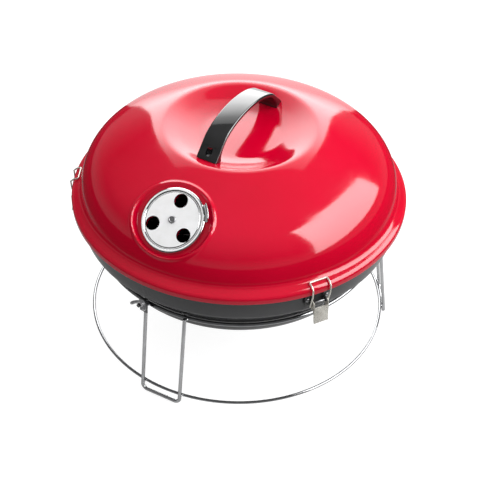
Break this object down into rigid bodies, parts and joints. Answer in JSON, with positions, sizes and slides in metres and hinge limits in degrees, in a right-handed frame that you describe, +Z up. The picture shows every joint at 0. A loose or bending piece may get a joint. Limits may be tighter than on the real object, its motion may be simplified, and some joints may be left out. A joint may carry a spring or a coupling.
{
  "type": "kettle charcoal grill",
  "caption": "Portable kettle charcoal grill: red domed lid with strap handle and turning damper, black bowl with grates, toggle latches and a low wire stand.",
  "frame": {"origin": "on the kettle's axis, at the level of the floor that the legs stand on", "axes": "+Z up along the kettle's axis, the front of the grill (the side with the damper and one latch) faces -Y, +X to its right"},
  "size_m": [0.3735, 0.368, 0.2836],
  "materials": {
    "red_enamel": "gloss porcelain enamel",
    "black_enamel": "gloss black enamel",
    "black_plastic": "gloss black",
    "chrome": "bright chrome plate",
    "nickel_plate": "satin nickel plate",
    "zinc_steel": "zinc-plated steel"
  },
  "bodies": {
    "base": {"bowl_shell": "black_enamel", "bowl_damper_rivet": "zinc_steel", "stand_upper_ring": "chrome", "stand_base_ring": "chrome", "leg_right": "chrome", "leg_right_clamp": "black_plastic", "leg_right_bolt": "black_plastic", "leg_right_wing_nut": "chrome", "leg_right_stop_screw": "black_plastic", "leg_rear": "chrome", "leg_rear_clamp": "black_plastic", "leg_rear_bolt": "black_plastic", "leg_rear_wing_nut": "chrome", "leg_rear_stop_screw": "black_plastic", "leg_front": "chrome", "leg_front_clamp": "black_plastic", "leg_front_bolt": "black_plastic", "leg_front_wing_nut": "chrome", "leg_front_stop_screw": "black_plastic", "latch_front_base": "black_enamel", "latch_front_pin": "zinc_steel", "latch_front_rivet_left": "zinc_steel", "latch_front_rivet_right": "zinc_steel", "latch_rear_base": "black_enamel", "latch_rear_pin": "zinc_steel", "latch_rear_rivet_left": "zinc_steel", "latch_rear_rivet_right": "zinc_steel", "latch_left_base": "black_enamel", "latch_left_pin": "zinc_steel", "latch_left_rivet_left": "zinc_steel", "latch_left_rivet_right": "zinc_steel"},
    "lid": {"lid_shell": "red_enamel", "lid_handle": "black_plastic", "handle_screw_front": "zinc_steel", "handle_screw_rear": "zinc_steel", "handle_nut_front": "zinc_steel", "handle_nut_rear": "zinc_steel", "lid_damper_rivet": "zinc_steel"},
    "lid_damper": {"lid_damper": "chrome"},
    "bowl_damper": {"bowl_damper": "zinc_steel"},
    "cooking_grate": {"cooking_grate": "chrome"},
    "charcoal_grate": {"charcoal_grate": "zinc_steel"},
    "latch_front_lever": {"latch_front_lever": "nickel_plate"},
    "latch_front_bail": {"latch_front_bail": "nickel_plate"},
    "latch_rear_lever": {"latch_rear_lever": "nickel_plate"},
    "latch_rear_bail": {"latch_rear_bail": "nickel_plate"},
    "latch_left_lever": {"latch_left_lever": "nickel_plate"},
    "latch_left_bail": {"latch_left_bail": "nickel_plate"}
  },
  "joints": [
    {"name": "lid_lift", "type": "slide", "parent": "base", "child": "lid", "axis": [0, 0, 1], "range_m": [0, 0.3]},
    {"name": "lid_damper_turn", "type": "hinge", "parent": "lid", "child": "lid_damper", "pos_m": [-0.06391, -0.12276, 0.2241], "axis": [-0.2843, -0.5461, 0.788], "continuous": true},
    {"name": "bowl_damper_turn", "type": "hinge", "parent": "base", "child": "bowl_damper", "pos_m": [0, 0, 0.0702], "axis": [0, 0, -1], "continuous": true},
    {"name": "cooking_grate_lift", "type": "slide", "parent": "base", "child": "cooking_grate", "axis": [0, 0, 1], "range_m": [0, 0.03]},
    {"name": "charcoal_grate_lift", "type": "slide", "parent": "base", "child": "charcoal_grate", "axis": [0, 0, 1], "range_m": [0, 0.035]},
    {"name": "latch_front_lever_turn", "type": "hinge", "parent": "base", "child": "latch_front_lever", "pos_m": [0.08331, -0.1635, 0.1575], "axis": [-0.891, -0.454, 0], "range_deg": [0, 135]},
    {"name": "latch_front_bail_turn", "type": "hinge", "parent": "latch_front_lever", "child": "latch_front_bail", "pos_m": [0.08263, -0.16216, 0.1515], "axis": [-0.891, -0.454, 0], "range_deg": [-185, 0]},
    {"name": "latch_rear_lever_turn", "type": "hinge", "parent": "base", "child": "latch_rear_lever", "pos_m": [0.09994, 0.1539, 0.1575], "axis": [0.8387, -0.5446, 0], "range_deg": [0, 135]},
    {"name": "latch_rear_bail_turn", "type": "hinge", "parent": "latch_rear_lever", "child": "latch_rear_bail", "pos_m": [0.09912, 0.15264, 0.1515], "axis": [0.8387, -0.5446, 0], "range_deg": [-185, 0]},
    {"name": "latch_left_lever_turn", "type": "hinge", "parent": "base", "child": "latch_left_lever", "pos_m": [-0.18325, 0.0096, 0.1575], "axis": [0.0523, 0.9986, 0], "range_deg": [0, 135]},
    {"name": "latch_left_bail_turn", "type": "hinge", "parent": "latch_left_lever", "child": "latch_left_bail", "pos_m": [-0.18175, 0.00953, 0.1515], "axis": [0.0523, 0.9986, 0], "range_deg": [-185, 0]}
  ],
  "couplings": [
    {"joint": "latch_front_bail_turn", "follows": "latch_front_lever_turn", "ratio": -1.35},
    {"joint": "latch_rear_bail_turn", "follows": "latch_rear_lever_turn", "ratio": -1.35},
    {"joint": "latch_left_bail_turn", "follows": "latch_left_lever_turn", "ratio": -1.35}
  ]
}
